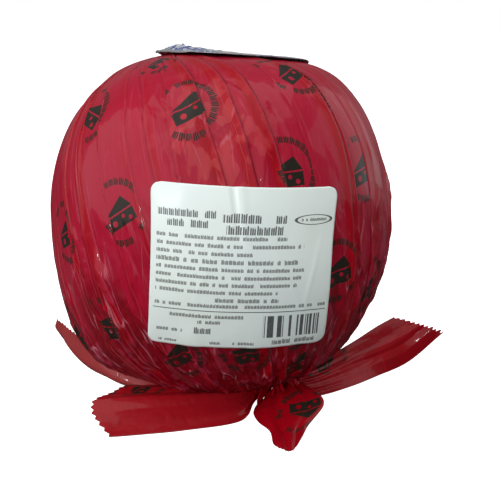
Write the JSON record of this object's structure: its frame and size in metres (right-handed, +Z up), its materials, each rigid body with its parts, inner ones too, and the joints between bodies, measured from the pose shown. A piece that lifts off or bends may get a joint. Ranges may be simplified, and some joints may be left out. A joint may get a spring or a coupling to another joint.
{
  "type": "wrapped ball of cheese",
  "caption": "Whole round cheese in pleated red plastic film gathered into splayed tails underneath, with a paper label in front and a round foil seal on top.",
  "frame": {"origin": "centre of the small flat spot underneath that the ball rests on", "axes": "+Z up through the ball, -Y towards the side with the paper label, +X to the right of someone who faces the label"},
  "size_m": [0.1768, 0.1562, 0.1466],
  "materials": {
    "cheese": "smooth pale yellow rind, slightly waxy",
    "film": null,
    "label_paper": null,
    "seal_foil": "crinkled silver and blue foil-faced paper"
  },
  "bodies": {
    "root": {"cheese_ball": "cheese", "film_wrap": "film", "product_label": "label_paper", "top_seal": "seal_foil"}
  },
  "joints": []
}
